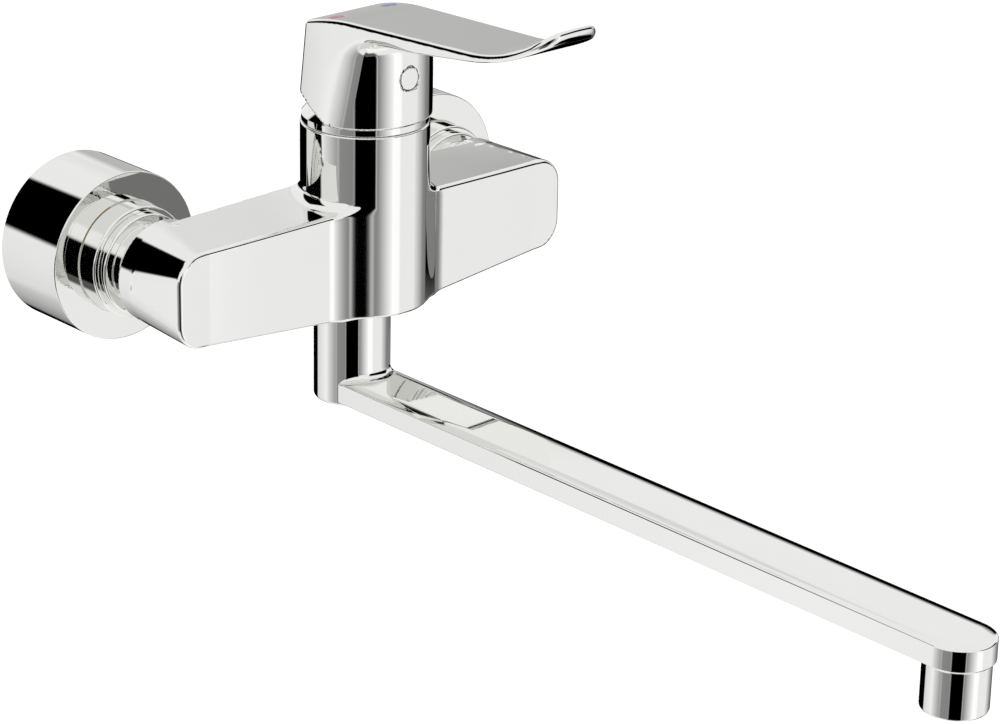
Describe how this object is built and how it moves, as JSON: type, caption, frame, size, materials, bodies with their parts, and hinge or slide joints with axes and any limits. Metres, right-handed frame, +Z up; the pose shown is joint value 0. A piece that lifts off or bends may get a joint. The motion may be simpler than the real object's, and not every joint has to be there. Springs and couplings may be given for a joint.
{
  "type": "wall-mounted kitchen mixer",
  "caption": "Chrome single-lever kitchen mixer for a wall with hot and cold inlets and a long flat swivel spout.",
  "frame": {"origin": "on the wall plane, midway between the two inlets, at the height of their axes", "axes": "+Z up, +X to the right seen from the room, +Y into the wall; the spout points to -Y"},
  "size_m": [0.214, 0.4037, 0.1851],
  "materials": {
    "chrome": "polished",
    "brass": "machined",
    "steel": "brushed",
    "seal_rubber": "matt",
    "cartridge_plastic": "moulded",
    "ceramic": "lapped",
    "red_enamel": "gloss",
    "blue_enamel": "gloss"
  },
  "bodies": {
    "body": {"wall_connector_left": "brass", "wall_connector_right": "brass", "escutcheon_left": "chrome", "escutcheon_right": "chrome", "union_nut_left": "chrome", "union_nut_right": "chrome", "sealing_washer_left": "seal_rubber", "sealing_washer_right": "seal_rubber", "strainer_left": "steel", "strainer_right": "steel", "inlet_nipple_left": "brass", "inlet_nipple_right": "brass", "inlet_collar_left": "chrome", "inlet_collar_right": "chrome", "mixer_body": "chrome", "base_seals": "seal_rubber", "cartridge_base": "cartridge_plastic", "fixed_disc": "ceramic", "cartridge_housing": "cartridge_plastic", "cartridge_nut": "brass", "dome_cap": "chrome", "spout_retaining_screw": "steel"},
    "rotor": {"cartridge_rotor": "cartridge_plastic", "rotor_cap": "cartridge_plastic", "lever_pin": "steel"},
    "lever": {"lever_spindle": "steel", "handle": "chrome", "handle_screw": "steel", "screw_cap": "chrome", "hot_index": "red_enamel", "cold_index": "blue_enamel"},
    "control": {"control_disc": "ceramic", "disc_carrier": "cartridge_plastic"},
    "spout": {"spout_riser": "chrome", "spout_arm": "chrome", "spigot_rings": "seal_rubber", "aerator_housing": "chrome", "aerator_seal": "seal_rubber", "aerator_insert": "cartridge_plastic"}
  },
  "joints": [
    {"name": "temperature_swivel", "type": "hinge", "parent": "body", "child": "rotor", "pos_m": [0, -0.08, 0], "axis": [0, 0, 1], "range_deg": [-50, 50]},
    {"name": "lever_lift", "type": "hinge", "parent": "rotor", "child": "lever", "pos_m": [0, -0.08, 0.033], "axis": [-1, 0, 0], "range_deg": [0, 25]},
    {"name": "disc_slide", "type": "slide", "parent": "rotor", "child": "control", "axis": [0, -1, 0], "range_m": [0, 0.0038]},
    {"name": "spout_swivel", "type": "hinge", "parent": "body", "child": "spout", "pos_m": [0, -0.073, 0], "axis": [0, 0, 1], "range_deg": [-100, 100]}
  ],
  "couplings": [
    {"joint": "disc_slide", "follows": "lever_lift", "m_per_rad": 0.0085}
  ]
}
